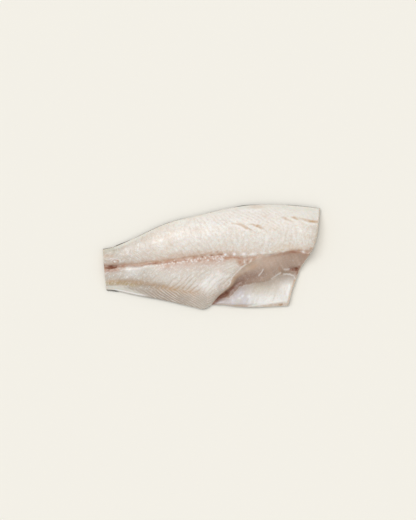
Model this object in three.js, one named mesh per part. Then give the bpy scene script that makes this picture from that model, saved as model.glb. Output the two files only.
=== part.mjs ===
// Skin-on toothfish fillet: the left side of the fish, cut from the frame and lying on its skin.
// Millimetres, +Z up. +X runs from the tail cut to the head cut along the spine line, +Y towards the back.
// Two solids: the flesh, with its cut side up, and the skin under it.
//
// The cut side is three patches that meet on the spine line and on the vent ridge:
//   back muscle   tail cut to head cut, spine line to back edge
//   tail muscle   tail cut to vent ridge, spine line to belly edge
//   belly wall    vent ridge to head cut, spine line to flap edge: the thin wall of the opened belly
import * as THREE from "three";

// ---------- outline in plan, x from the tail cut and y from the spine line ----------
const spineLine = [[0, 0], [60, 2], [125, 6.4], [190, 8.3], [260, 6.4], [300, 6.2], [328, 8.4], [363, 0]];
const backEdge = [
  [0, 29.6], [24, 34], [64, 49], [117, 69], [174, 79.5], [240, 90], [290, 91], [340, 86], [385.5, 78.5],
];
const bellyEdge = [[2, -40.5], [21, -43.5], [56, -53.5], [104, -65.2], [150, -79], [170, -84.6], [184, -79]];
const flapEdge = [[184, -79], [203, -79], [228, -84], [256, -87], [290, -87.6], [319.5, -87.8]];
const ventRidge = [
  [278, 6], [262, -5.5], [240, -17.5], [226, -31], [218.5, -46], [206, -56.5], [196, -65], [184, -79],
];
// the crease of the opened belly, where its wall turns up into the flap
const wallFold = [
  [218, -62], [236, -44], [258, -41.5], [276, -41], [293, -38], [307, -32], [323, -30], [339, -35],
];
const tailCutBack = [[0, 0], [0, 29.6]];
const tailCutBelly = [[0, 0], [0.6, -20], [2, -40.5]];
const headCutBack = [[363, 0], [372, 14], [380, 40], [385.5, 78.5]];
const headCutBelly = [[363, 0], [346, -22], [337.5, -40], [328, -62], [319.5, -87.8]];
const boxCentre = { x: 192.5, y: 1.5 }; // plan middle of the finished fillet in the numbers above

// ---------- heights above the surface it lies on ----------
const spineHeight = { tail: 9.5, head: 22, reach: 300 };
const backCrest = { tail: 12.5, head: 32, reach: 320, at: 0.4 };
const backRim = { tail: 5, head: 8.5, reach: 300 };
const tailMuscleCrest = { tail: 11.5, head: 22.5, reach: 230, at: 0.34 };
const bellyRim = { tail: 4.6, head: 6.2, reach: 180 };
const crestShape = { fall: 2.2, round: 0.8 }; // powers that shape a muscle from its crest to its rim
const ventLip = { drop: 2.4, width: 14, fullAt: 0.33 }; // the muscle rounds off at the opened belly
const bellyWall = { crease: 8.4, rim: 11.2, edge: 5.4, creaseAt: 0.5, rimAt: 0.92, downBy: 1.5, offBy: 1.6 };
// how far the vent ridge takes to come down to the wall, at the spine, halfway and at the vent
const ridgeSlope = { spine: 24, middle: 15, vent: 4, fall: 1.7 };
const spineLedge = { drop: 2.6, spread: 0.07 }; // the back muscle stands over the opened belly

// ---------- skin ----------
const skin = { thickness: 1.2, proud: 0.9, flapProud: 0.4, proudFrom: 0.9 };
const skinGap = 0.4; // clear space kept between the two solids
// the skin turns up along its edges, and less along the flap
const edgeCurl = { tail: 1.4, head: 4.2, reach: 260, from: 0.78, flap: 0.8, flapFrom: 0.7 };

// ---------- relief of the cut side ----------
// the columns of the mesh run along the flakes, three to a flake, so each flake's edge is a crisp line
const flake = {
  columns: 3, groove: 0.8, step: 0.25, clearOfSpine: 6, clearOfRidge: 5, fadeFrom: 0.86, fadeTo: 0.98,
};
// how far, as a share of the length, a flake slants to its apex and past it
const chevron = {
  back: { at: 0.5, lean: -0.75, turn: 1.6, turnsAt: 0.38 },
  belly: { at: 0.76, lean: -0.2, turn: 0.2 },
};
const spineGroove = { tail: 2, head: 0.9, reach: 160, width: 3, onWall: 0.5 };
const tailPit = { x: 16, length: 9, depth: 2.2, width: 3 };
const boneStubs = { first: 213, pitch: 15.2, count: 7, below: 1.4, height: 1.7, length: 2.7, width: 2 };
const apexCrease = { at: 0.76, depth: 1, spread: 0.08, fullFrom: 30 };
const ventPocket = { from: [187, -77], to: [214, -60], depth: 4.6, width: 5.4 };
const headNotch = { from: [330, -22.5], to: [342, -27], depth: 3.4, width: 4.8 };

// how far the top edge of each cut lies inside its bottom edge
const tailCutLean = 0.8;
const headCutLean = { most: 6.6, least: 2.8, at: 0.42, spread: 0.34, belly: 1.8, columns: 8 };

// ---------- mesh ----------
const columns = { toVent: 84, pastVent: 36 };
const rows = { back: 15, belly: 18 };
// rows and columns lie closer by the spine, the edges and the vent ridge
const bunching = { rows: 0.55, columns: 1.5, evenFrom: 0.2 };
const lastColumn = columns.toVent + columns.pastVent;
const lastRow = rows.back + rows.belly;
const coarse = 3; // the underside and the skin use every third row and column

const lerp = (a, b, t) => a + (b - a) * t;
const clamp = (v) => Math.min(1, Math.max(0, v));
const smooth = (v) => clamp(v) ** 2 * (3 - 2 * clamp(v));
const bell = (v) => Math.exp(-v * v);
// a height that grows from the tail and levels out after a reach
const growth = (h, x) => lerp(h.tail, h.head, Math.sin((Math.PI / 2) * clamp(x / h.reach)));

const curve = (points) => {
  const made = new THREE.SplineCurve(points.map(([x, y]) => new THREE.Vector2(x, y)));
  made.arcLengthDivisions = 400;
  return (t) => made.getPointAt(clamp(t));
};

const spine = curve(spineLine);
const ridge = curve(ventRidge);

// the share of the spine line that lies on the tail side of the vent ridge
const ventShare = (() => {
  let share = 0;
  while (spine(share).x < ventRidge[0][0]) share += 0.0005;
  return share;
})();

// Coons patch: the plan point at (s, t) of the sheet between four edges,
// s along the fish and t away from the spine.
function patch(inner, outer, start, end) {
  return (s, t) => {
    const [p00, p10, p01, p11] = [inner(0), inner(1), outer(0), outer(1)];
    const at = (k) =>
      lerp(inner(s)[k], outer(s)[k], t) +
      lerp(start(t)[k], end(t)[k], s) -
      lerp(lerp(p00[k], p10[k], s), lerp(p01[k], p11[k], s), t);
    return { x: at("x"), y: at("y") };
  };
}

const backPatch = patch(spine, curve(backEdge), curve(tailCutBack), curve(headCutBack));
const tailPatch = patch((s) => spine(s * ventShare), curve(bellyEdge), curve(tailCutBelly), ridge);
const wallPatch = patch((s) => spine(lerp(ventShare, 1, s)), curve(flapEdge), ridge, curve(headCutBelly));

// ---------- the cut side ----------
// A muscle's section: up from the spine line to its crest, then round and down to its rim.
function muscleSection(t, atSpine, crest, rim, crestAt) {
  if (t < crestAt) return lerp(atSpine, crest, Math.sin((Math.PI / 2) * (t / crestAt)));
  const out = (t - crestAt) / (1 - crestAt);
  return lerp(rim, crest, (1 - out ** crestShape.fall) ** crestShape.round);
}

const spineTop = (x) => growth(spineHeight, x);

function backHeight(x, t) {
  return muscleSection(t, spineTop(x), growth(backCrest, x), growth(backRim, x), backCrest.at);
}

function tailMuscleHeight(x, t, toRidge) {
  const [crest, rim] = [growth(tailMuscleCrest, x), growth(bellyRim, x)];
  const body = muscleSection(t, spineTop(x), crest, rim, tailMuscleCrest.at);
  const { at, depth, spread, fullFrom } = apexCrease;
  const crease = depth * bell((t - at) / spread) * smooth(x / fullFrom);
  const lip = ventLip.drop * (1 - smooth(toRidge / ventLip.width)) * smooth(t / ventLip.fullAt);
  return body - crease - lip;
}

// the y of a line of points at x
function lineAt(points, x) {
  const next = points.findIndex(([px]) => px > x);
  if (next === 0) return points[0][1];
  if (next < 0) return points.at(-1)[1];
  const [[ax, ay], [bx, by]] = [points[next - 1], points[next]];
  return lerp(ay, by, (x - ax) / (bx - ax));
}

// How far down the opened belly: 0 on the spine line, creaseAt on the crease, 1 on the flap's edge.
function wallShare({ x, y }) {
  const [spineY, foldY, edgeY] = [spineLine, wallFold, flapEdge].map((points) => lineAt(points, x));
  const { creaseAt } = bellyWall;
  const share = y > foldY ? creaseAt * (spineY - y) / (spineY - foldY)
    : lerp(creaseAt, 1, (foldY - y) / (foldY - edgeY));
  return clamp(share);
}

// The opened belly: down from the spine to a crease, up over the flap to its rim, and off the edge.
function wallSheet(plan) {
  const share = wallShare(plan);
  const { crease, rim, edge, creaseAt, rimAt, downBy, offBy } = bellyWall;
  if (share < creaseAt) {
    const down = 1 - (1 - share / creaseAt) ** downBy;
    const ledge = spineLedge.drop * (1 - bell(share / spineLedge.spread)) * (1 - share / creaseAt);
    return lerp(spineTop(plan.x), crease, down) - ledge;
  }
  if (share < rimAt) return lerp(crease, rim, smooth((share - creaseAt) / (rimAt - creaseAt)));
  return lerp(rim, edge, ((share - rimAt) / (1 - rimAt)) ** offBy);
}

function bellyWallHeight(plan, t, pastRidge) {
  const { spine: bySpine, middle, vent, fall } = ridgeSlope;
  const width = t < 0.5 ? lerp(bySpine, middle, t * 2) : lerp(middle, vent, t * 2 - 1);
  const lip = tailMuscleHeight(ridge(t).x, t, 0);
  const foot = (1 - clamp(pastRidge / width)) ** fall;
  const sheet = wallSheet(plan);
  return Math.max(sheet, lerp(sheet, lip, foot));
}

// How far a flake slants, as a share of the length. On the back it leans to the tail up to its apex,
// most by the tail; past it, it turns back by the tail and leans on by the head.
function slantOfBack(share, t) {
  const { at, lean, turn, turnsAt } = chevron.back;
  const past = clamp((t - at) / (1 - at));
  const toApex = lean * (1 - share) ** 2 * Math.min(1, t / at);
  return share * (1 - share) * (toApex + turn * (turnsAt - share) * past);
}

// On the belly it leans to the tail up to its apex, less by the vent, and turns back past it.
function slantOfBelly(share, t) {
  const { at, lean, turn } = chevron.belly;
  const past = clamp((t - at) / (1 - at));
  return Math.sin(Math.PI * share) * (lean * (1 - share) * Math.min(1, t / at) + turn * past);
}

// The groove between two flakes, and the step from one flake up to the next.
function flakes(column) {
  const place = column % flake.columns;
  return place === 0 ? flake.groove : flake.step * (place - 1);
}

function spineRelief(x, offset) {
  const groove = growth(spineGroove, x) * bell(offset / spineGroove.width);
  const pit = tailPit.depth * bell((x - tailPit.x) / tailPit.length) * bell(offset / tailPit.width);
  let stubs = 0;
  for (let i = 0; i < boneStubs.count; i++) {
    const along = (x - boneStubs.first - i * boneStubs.pitch) / boneStubs.length;
    stubs += boneStubs.height * bell(along) * bell((offset + boneStubs.below) / boneStubs.width);
  }
  return stubs - groove - pit;
}

const planDistance = (p, q) => Math.hypot(p.x - q.x, p.y - q.y);

function distanceToSegment(p, [ax, ay], [bx, by]) {
  const t = clamp(((p.x - ax) * (bx - ax) + (p.y - ay) * (by - ay)) / ((bx - ax) ** 2 + (by - ay) ** 2));
  return planDistance(p, { x: lerp(ax, bx, t), y: lerp(ay, by, t) });
}

const hollow = ({ from, to, depth, width }, plan) => depth * bell(distanceToSegment(plan, from, to) / width);

// ---------- one point of the fillet: plan place, top of the flesh and underside of the skin ----------
function station(column, row) {
  const side = row <= rows.back ? 1 : -1;
  const step = side > 0 ? (rows.back - row) / rows.back : (row - rows.back) / rows.belly;
  const t = lerp(step, 0.5 - 0.5 * Math.cos(Math.PI * step), bunching.rows);
  const pastVent = column > columns.toVent;
  const inWall = clamp((column - columns.toVent) / columns.pastVent);
  const s = pastVent ? inWall ** bunching.columns : column / columns.toVent;
  const share = pastVent ? lerp(ventShare, 1, s) : ventShare * s;

  let plan, top, curl, along;
  let clear = 1;
  if (side > 0) {
    const even = lerp(share, column / lastColumn, smooth(t / bunching.evenFrom));
    along = even + slantOfBack(even, t);
    plan = backPatch(along, t);
    top = backHeight(plan.x, t);
    curl = growth(edgeCurl, plan.x);
  } else if (!pastVent) {
    const bent = s + slantOfBelly(s, t);
    along = share;
    plan = tailPatch(bent, t);
    const toRidge = planDistance(plan, ridge(t));
    clear = smooth(toRidge / flake.clearOfRidge);
    top = tailMuscleHeight(plan.x, t, toRidge);
    const byFlap = smooth((bent - edgeCurl.flapFrom) / (1 - edgeCurl.flapFrom));
    curl = lerp(growth(edgeCurl, plan.x), edgeCurl.flap, byFlap);
  } else {
    along = share;
    plan = wallPatch(s, t);
    top = bellyWallHeight(plan, t, planDistance(plan, ridge(t)));
    curl = edgeCurl.flap;
  }

  const offset = side * planDistance(plan, spine(along));
  const muscle = side > 0 || !pastVent;
  clear *= 1 - smooth((t - flake.fadeFrom) / (flake.fadeTo - flake.fadeFrom));
  if (muscle) top -= flakes(column) * clear * smooth(Math.abs(offset) / flake.clearOfSpine);
  top += spineRelief(plan.x, offset) * (muscle ? 1 : spineGroove.onWall);
  if (!muscle) top -= hollow(ventPocket, plan) + hollow(headNotch, plan);
  const under = curl * clamp((t - edgeCurl.from) / (1 - edgeCurl.from)) ** 2;
  return { x: plan.x - boxCentre.x, y: plan.y - boxCentre.y, top, under, side, t, muscle };
}

const stations = Array.from({ length: lastColumn + 1 }, (_, c) =>
  Array.from({ length: lastRow + 1 }, (_, r) => station(c, r)),
);

// ---------- building closed meshes from sheets of points ----------
class Solid {
  constructor() {
    this.points = [];
    this.faces = [];
  }
  // adds the points of a sheet and gives their numbers, as sheet[column][row]
  sheet(columnsUsed, rowsUsed, place) {
    return columnsUsed.map((c) => rowsUsed.map((r) => this.points.push(place(c, r)) - 1));
  }
  triangle(a, b, c) {
    if (a !== b && b !== c && c !== a) this.faces.push(a, b, c);
  }
  // a, b, c, d counter-clockwise from outside, cut along the shorter diagonal
  quad(a, b, c, d) {
    const p = this.points;
    if (p[a].distanceTo(p[c]) < p[b].distanceTo(p[d])) {
      this.triangle(a, b, c);
      this.triangle(a, c, d);
    } else {
      this.triangle(a, b, d);
      this.triangle(b, c, d);
    }
  }
  fill(sheet, up) {
    for (let c = 0; c + 1 < sheet.length; c++)
      for (let r = 0; r + 1 < sheet[c].length; r++) {
        const corners = [sheet[c][r], sheet[c][r + 1], sheet[c + 1][r + 1], sheet[c + 1][r]];
        this.quad(...(up ? corners : corners.reverse()));
      }
  }
  band(upper, lower) {
    upper.forEach((u, i) => {
      const next = (i + 1) % upper.length;
      this.quad(u, upper[next], lower[next], lower[i]);
    });
  }
  // joins a fine ring to the coarse one inside it, on the underside
  zip(fine, inner) {
    inner.forEach(([a, b], i) => {
      const f = (k) => fine[(i * coarse + k) % fine.length];
      const half = Math.ceil(coarse / 2);
      for (let k = 0; k < half; k++) this.triangle(f(k), f(k + 1), a);
      this.triangle(f(half), b, a);
      for (let k = half; k < coarse; k++) this.triangle(f(k), f(k + 1), b);
    });
  }
  mesh(name, color, roughness) {
    const positions = new Float32Array(this.points.flatMap((p) => [p.x, p.y, p.z]));
    const geometry = new THREE.BufferGeometry();
    geometry.setAttribute("position", new THREE.BufferAttribute(positions, 3));
    geometry.setIndex(this.faces);
    geometry.computeVertexNormals();
    const material = new THREE.MeshStandardMaterial({ color, roughness, metalness: 0, flatShading: true });
    const made = new THREE.Mesh(geometry, material);
    made.name = name;
    return made;
  }
}

// a sheet's edge, once round: the back edge, the head cut, the belly and the tail cut
function ring(sheet) {
  const last = sheet.length - 1;
  const end = sheet[0].length - 1;
  const back = sheet.slice(0, last).map((column) => column[0]);
  const belly = sheet.slice(1).map((column) => column[end]).reverse();
  return [...back, ...sheet[last].slice(0, end), ...belly, ...sheet[0].slice(1).reverse()];
}

const range = (from, to, step = 1) =>
  Array.from({ length: Math.floor((to - from) / step) + 1 }, (_, i) => from + i * step);
const allColumns = range(0, lastColumn);
const allRows = range(0, lastRow);
const coarseColumns = range(0, lastColumn, coarse);
const coarseRows = range(0, lastRow, coarse);

// the cut faces lean: the top edge stands back from the bottom edge, most under the loin's crest
function fleshTop(c, r) {
  const p = stations[c][r];
  const { most, least, at, spread, belly, columns: reach } = headCutLean;
  const headLean = p.side > 0 ? lerp(least, most, bell((p.t - at) / spread)) : lerp(least, belly, 1 - p.t);
  const lean = tailCutLean * (1 - smooth(c / reach)) - headLean * smooth((c - lastColumn + reach) / reach);
  return new THREE.Vector3(p.x + lean, p.y, p.top);
}

const skinTop = (p) => p.under + skin.thickness;
const fleshUnder = ({ x, y, under }) => new THREE.Vector3(x, y, skinTop({ under }) + skinGap);

function makeFlesh() {
  const solid = new Solid();
  const top = solid.sheet(allColumns, allRows, fleshTop);
  solid.fill(top, true);

  const lower = ring(stations).map((p) => solid.points.push(fleshUnder(p)) - 1);
  solid.band(ring(top), lower);

  const inner = [coarseColumns.slice(1, -1), coarseRows.slice(1, -1)];
  const inside = solid.sheet(...inner, (c, r) => fleshUnder(stations[c][r]));
  solid.fill(inside, false);
  solid.zip(lower, innerSteps(inside));
  return solid.mesh("flesh", 0xe9e0d2, 0.45);
}

// for each coarse step round the edge, the two inner points that face it;
// a corner step faces the same one twice
function innerSteps(inside) {
  const inner = ring(inside);
  const [across, down] = [inside.length - 1, inside[0].length - 1];
  const steps = [];
  let at = 0;
  for (const side of [across, down, across, down]) {
    steps.push([inner[at], inner[at]]);
    for (let i = 0; i < side; i++, at++) steps.push([inner[at], inner[(at + 1) % inner.length]]);
    steps.push([inner[at % inner.length], inner[at % inner.length]]);
  }
  return steps;
}

// the skin stands a little proud of the flesh along the back and the belly, and less along the flap
function makeSkin() {
  const solid = new Solid();
  const atEdge = (t) => smooth((t - skin.proudFrom) / (1 - skin.proudFrom));
  const proud = (p) => (p.muscle ? skin.proud : skin.flapProud) * atEdge(p.t);
  const place = (height) => (c, r) => {
    const p = stations[c][r];
    return new THREE.Vector3(p.x, p.y + p.side * proud(p), height(p));
  };
  const upper = solid.sheet(coarseColumns, coarseRows, place(skinTop));
  const lower = solid.sheet(coarseColumns, coarseRows, place((p) => p.under));
  solid.fill(upper, true);
  solid.fill(lower, false);
  solid.band(ring(upper), ring(lower));
  return solid.mesh("skin", 0x4a4844, 0.5);
}

const fillet = new THREE.Group();
fillet.name = "toothfish_fillet";
fillet.add(makeFlesh(), makeSkin());

export default fillet;
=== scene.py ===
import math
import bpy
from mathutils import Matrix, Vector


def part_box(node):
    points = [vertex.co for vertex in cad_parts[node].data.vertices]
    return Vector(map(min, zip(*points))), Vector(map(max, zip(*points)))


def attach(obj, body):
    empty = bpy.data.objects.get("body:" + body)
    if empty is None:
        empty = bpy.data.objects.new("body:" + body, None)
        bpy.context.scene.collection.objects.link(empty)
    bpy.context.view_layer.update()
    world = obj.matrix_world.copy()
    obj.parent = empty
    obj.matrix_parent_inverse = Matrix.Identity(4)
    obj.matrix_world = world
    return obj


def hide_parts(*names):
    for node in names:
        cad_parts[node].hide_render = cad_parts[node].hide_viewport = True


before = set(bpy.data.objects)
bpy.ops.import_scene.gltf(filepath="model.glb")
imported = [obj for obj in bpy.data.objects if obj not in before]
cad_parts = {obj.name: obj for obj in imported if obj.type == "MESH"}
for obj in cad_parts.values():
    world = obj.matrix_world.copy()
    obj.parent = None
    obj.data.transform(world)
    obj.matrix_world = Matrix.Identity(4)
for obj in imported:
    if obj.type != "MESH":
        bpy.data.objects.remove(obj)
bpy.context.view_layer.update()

# Raw toothfish fillet, skin on, lying on its skin with the cut side up. Blender 4.5.
# Shapes are worked out in millimetres: x from the tail cut along the spine line, y from that line
# towards the back edge, z up from what the fillet lies on. toMesh puts them in the frame, in metres.
from types import SimpleNamespace
import bpy
import numpy as np
from mathutils import Vector

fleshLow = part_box("flesh")[0]

# the fillet in plan and in section, as in the solids, with a loin 0.5 mm lower under its relief
outline = {
    "spine": [(0, 0), (60, 2), (125, 6.4), (190, 8.3), (260, 6.4), (300, 6.2), (328, 8.4), (363, 0)],
    "back": [(0, 29.6), (24, 34), (64, 49), (117, 69), (174, 79.5), (240, 90), (290, 91), (340, 86),
             (385.5, 78.5)],
    "belly": [(2, -40.5), (21, -43.5), (56, -53.5), (104, -65.2), (150, -79), (170, -84.6), (184, -79)],
    "flap": [(184, -79), (203, -79), (228, -84), (256, -87), (290, -87.6), (319.5, -87.8)],
    "ridge": [(278, 6), (262, -5.5), (240, -17.5), (226, -31), (218.5, -46), (206, -56.5), (196, -65),
              (184, -79)],
    "fold": [(218, -62), (236, -44), (258, -41.5), (276, -41), (293, -38), (307, -32), (323, -30),
             (339, -35)],
    "tailCutBack": [(0, 0), (0, 29.6)],
    "tailCutBelly": [(0, 0), (0.6, -20), (2, -40.5)],
    "headCutBack": [(363, 0), (372, 14), (380, 40), (385.5, 78.5)],
    "headCutBelly": [(363, 0), (346, -22), (337.5, -40), (328, -62), (319.5, -87.8)],
}
section = {
    "spine": {"tail": 9.5, "head": 22, "reach": 300},
    "backCrest": {"tail": 12.5, "head": 31.5, "reach": 320, "at": 0.4},
    "backRim": {"tail": 5, "head": 8.5, "reach": 300},
    "tailCrest": {"tail": 11.5, "head": 22.5, "reach": 230, "at": 0.34},
    "bellyRim": {"tail": 4.6, "head": 6.2, "reach": 180},
    "fall": 2.2,  # powers that shape a muscle from its crest to its rim
    "round": 0.8,
    "lip": {"drop": 2.4, "width": 14, "fullAt": 0.33},  # the tail muscle rounds off at the opened belly
    "wall": {"crease": 8.4, "rim": 11.2, "edge": 5.4, "creaseAt": 0.5, "rimAt": 0.92, "downBy": 1.5,
             "offBy": 1.6},
    "slope": {"spine": 24, "middle": 15, "vent": 4, "fall": 1.7},  # how far the vent ridge takes to come down
    "ledge": {"drop": 2.6, "spread": 0.07},  # the back muscle stands over the opened belly
    "skin": 1.2,
    "gap": 0.4,  # clear space between flesh and skin
    "curl": {"tail": 1.4, "head": 4.2, "reach": 260, "from": 0.78, "flap": 0.8, "flapFrom": 0.7},
}
mesh = {
    "toVent": 280,  # columns from the tail cut to the vent ridge, and from there to the head cut
    "pastVent": 120,
    "backRows": 92,
    "bellyRows": 98,
    "rowBunch": 0.4,  # rows draw together at the spine line and the rims, columns at the vent ridge
    "columnBunch": 1.25,
    "evenFrom": 0.2,
    "levels": 12,  # rings down the cut faces and rims, which swell a little between the edges
    "swell": 0.5,
    "coarse": 10,  # the underside uses every tenth row
    "sharpFrom": 50,  # degrees between faces
}


def lerp(a, b, t):
    # straight from a to b as t goes from 0 to 1
    return a + (b - a) * t


def smooth(v):
    # v squared times 3 - 2v between 0 and 1, level outside
    v = np.clip(v, 0, 1)
    return v * v * (3 - 2 * v)


def bell(v):
    # e to the power of minus v squared
    return np.exp(-v * v)


def rise(v, start, width):
    # 0 up to the start, eased to 1 over the width
    return smooth((v - start) / width)


def fall(v, start, width):
    # 1 up to the start, eased to 0 over the width
    return 1 - rise(v, start, width)


def hump(v, middle, width):
    # a bell round the middle
    return bell((v - middle) / width)


def lineAt(x, points):
    # the broken line's y over x
    return np.interp(x, *zip(*points))


def growth(size, x):
    # a quarter sine from the tail's value to the head's, level after its reach
    return lerp(size["tail"], size["head"], np.sin(math.pi / 2 * np.clip(x / size["reach"], 0, 1)))


def softNoise(x, y, size, seed):
    # value noise: a seeded number at each corner of a square net, eased between the corners
    table = np.random.default_rng(seed).uniform(-1, 1, (97, 97))
    gx, gy = x / size, y / size
    ix, iy = np.floor(gx).astype(int), np.floor(gy).astype(int)
    ux, uy = smooth(gx - ix), smooth(gy - iy)
    low = lerp(table[ix % 97, iy % 97], table[(ix + 1) % 97, iy % 97], ux)
    high = lerp(table[ix % 97, (iy + 1) % 97], table[(ix + 1) % 97, (iy + 1) % 97], ux)
    return lerp(low, high, uy)


def curveThrough(points):
    # a Catmull-Rom curve through the points, read by its share of the length: f(t) gives x and y
    p = np.array(points, float)
    p = np.vstack([p[:1], p, p[-1:]])
    at = np.linspace(0, len(points) - 1, 1600)
    i = np.minimum(at.astype(int), len(points) - 2)
    w = (at - i)[:, None]
    a, b, c, d = p[i], p[i + 1], p[i + 2], p[i + 3]
    v, u = (c - a) / 2, (d - b) / 2
    q = (2 * b - 2 * c + v + u) * w**3 + (-3 * b + 3 * c - 2 * v - u) * w**2 + v * w + b
    share = np.insert(np.cumsum(np.hypot(*np.diff(q, axis=0).T)), 0, 0)
    share /= share[-1]
    return lambda t: np.stack([np.interp(t, share, q[:, k]) for k in (0, 1)], -1)


def coonsPatch(inner, outer, start, end):
    # the sheet between four curves: the sum of both rulings less the one through its corners
    zero, one = np.zeros(1), np.ones(1)

    def at(s, t):
        s1, t1 = s[..., None], t[..., None]
        corners = lerp(lerp(inner(zero), inner(one), s1), lerp(outer(zero), outer(one), s1), t1)
        return lerp(inner(s), outer(s), t1) + lerp(start(t), end(t), s1) - corners

    return at


def runsOf(plan, points):
    # for each straight run of a line: its number, the share of it at the nearest point, the distance
    x, y = plan[..., 0], plan[..., 1]
    for k, ((ax, ay), (bx, by)) in enumerate(zip(points, points[1:])):
        t = np.clip(((x - ax) * (bx - ax) + (y - ay) * (by - ay)) / ((bx - ax) ** 2 + (by - ay) ** 2), 0, 1)
        yield k, t, np.hypot(x - lerp(ax, bx, t), y - lerp(ay, by, t))


def nearLine(plan, points, width, taper=0.0):
    # 1 on the line, falling off as a bell with the distance from it; with taper it thins towards its ends
    best = np.zeros(plan.shape[:2])
    for k, t, distance in runsOf(plan, points):
        thin = 1 - taper * (1 - np.sin(math.pi * (k + t) / (len(points) - 1)))
        best = np.maximum(best, bell(distance / (width * thin)) * thin)
    return best


def nearSpot(plan, at, length, width):
    # a bell of the distance from the spot, measured in its length along x and its width along y
    return bell(np.hypot((plan[..., 0] - at[0]) / length, (plan[..., 1] - at[1]) / width))


def strongest(plan, marks):
    # the most that any mark gives: its strength times the nearness to its line, a list, or to its one spot
    near = [strength * (nearLine if isinstance(where, list) else nearSpot)(plan, where, *size)
            for strength, where, *size in marks]
    return np.maximum.reduce(near)


def planDistance(a, b):
    # the straight distance between points in plan
    return np.hypot(a[..., 0] - b[..., 0], a[..., 1] - b[..., 1])


curves = {name: curveThrough(points) for name, points in outline.items()}
fineShare = np.linspace(0, 1, 4001)
ventShare = float(np.interp(outline["ridge"][0][0], curves["spine"](fineShare)[:, 0], fineShare))
backPatch = coonsPatch(curves["spine"], curves["back"], curves["tailCutBack"], curves["headCutBack"])
tailPatch = coonsPatch(lambda s: curves["spine"](s * ventShare), curves["belly"], curves["tailCutBelly"],
                       curves["ridge"])
wallPatch = coonsPatch(lambda s: curves["spine"](lerp(ventShare, 1, s)), curves["flap"], curves["ridge"],
                       curves["headCutBelly"])


# the cut side as whole arrays, one value for each column and row
relief = {
    # lean and turn: mm that an edge leans to the tail for each mm outwards, before and past the apex
    "flakesBack": {"pitch": 9.6, "apex": 0.5, "at": [0, 60, 150, 230, 385],
                   "lean": [1.3, 1.3, 0.7, 0.05, -0.12], "turn": [-0.4, -0.3, 0, 1.5, 1.6]},
    "flakesTail": {"pitch": 13.5, "lowPitch": 12.5, "apex": 0.76, "at": [0, 60, 150, 200, 260],
                   "lean": [0.7, 0.9, 1.15, 1.3, 1.3], "turn": [-1.9, -2.2, -2.9, -3.1, -3.1]},
    "groove": 0.26,  # depth between two flakes
    "shingle": 0.2,  # a flake rises to its edge over the next
    "clearOfSpine": 7,
    "fade": (0.9, 0.1),  # where the flakes start to fade towards the rim, and over how much
    "spineGroove": {"tail": 2.0, "head": 0.9, "reach": 160, "width": 3, "onWall": 0.6},
    "pit": {"line": [(3, -2.6), (9, -2.5), (15, -2.2), (22, -1.7)], "depth": 2.4, "width": 3},
    # a low ridge under the spine line at the tail, whose white is painted highlight
    "highlightRidge": {"from": 31, "to": 86, "offset": -9, "width": 4.6, "height": 0.9},
    "crease": {"at": 0.76, "depth": 1, "spread": 0.08, "fullFrom": 30},  # at the belly flakes' apex
    "bulge": {"line": [(191, -25), (180, -34), (168, -46)], "height": 0.5, "width": 3},
    "swell": {"line": [(205, -30), (192, -38), (178, -50)], "height": 1.0, "width": 10},
    "pocket": {"line": [(187, -77), (194, -71), (203, -65), (212, -60.5)], "depth": 4.4, "width": 4.4},
    "tear": {"line": [(217, -58), (221, -53.5), (227, -49), (237, -41.5)], "depth": 0.9, "width": 2.6},
    "notch": {"line": [(327, -24), (334, -23.6), (340, -24.5)], "depth": 2.4, "width": 3},
    "notchEnd": {"line": [(338, -24.5), (341, -27)], "depth": 2.4, "width": 3},
    "seams": [[(226, 63), (241, 59.5), (251, 54), (268, 43)],
              [(258, 58.5), (271.5, 55), (278, 51), (289, 43)],
              [(314, 68.5), (325, 62.7), (340, 57)], [(332, 67.5), (338, 64.5), (344.5, 60)],
              [(341, 65), (357.5, 59.6), (368, 55.8), (382, 54.6), (398, 54.6)]],
    "seam": {"depth": 0.6, "width": 2.6, "fat": (0.7, 1.0, 0.6, 0.8, 1.0)},  # how much fat shows in each
    "folds": [[(293, -38.5), (300, -34), (309, -30)], [(279, -21.5), (276, -26), (271, -32.5)],
              [(314, -32.5), (326, -33), (333, -36.5), (336, -42)]],
    "fold": {"height": 0.6, "width": 1.2},
    "ribs": 0.12,
    "lumps": [(34, 0.55, 5), (13, 0.3, 6), (5.5, 0.15, 7), (2.6, 0.07, 8)],  # size, height and seed
    "headLean": {"most": 6.6, "least": 2.8, "at": 0.42, "spread": 0.34, "belly": 1.8, "columns": 26},
    "tailLean": 0.8,
}
bones = {
    "large": {"width": 2.2, "height": 1.3, "stubs": [  # x, offset, length and how much it shows
        (214, 0, 2.6, 0.9), (229.5, 0, 2.6, 1), (246, 0, 3, 1), (262, -0.4, 4.4, 0.6), (280.5, 0.6, 4.2, 0.6),
        (292, 1.8, 2.2, 0.6), (315, -0.8, 3, 0.5), (351, 1, 3.4, 0.6)]},
    "small": {"first": 80, "pitch": 4.4, "count": 31, "length": 2, "shows": 0.9, "width": 1.6, "height": 0.7,
              "offset": [(72, -6.4), (100, -8), (150, -6.4), (215, -5)],
              "sway": [(72, 0.8), (110, 1.4), (150, 2.6), (215, 3.2)], "seed": 11},
}


def muscleSection(x, t, crest, rim):
    # a quarter sine up from the spine to the crest, then a rounded fall to the rim
    at, top = crest["at"], growth(crest, x)
    out = np.clip((t - at) / (1 - at), 0, 1)
    up = lerp(growth(section["spine"], x), top, np.sin(math.pi / 2 * np.clip(t / at, 0, 1)))
    return np.where(t < at, up, lerp(growth(rim, x), top, (1 - out ** section["fall"]) ** section["round"]))


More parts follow.
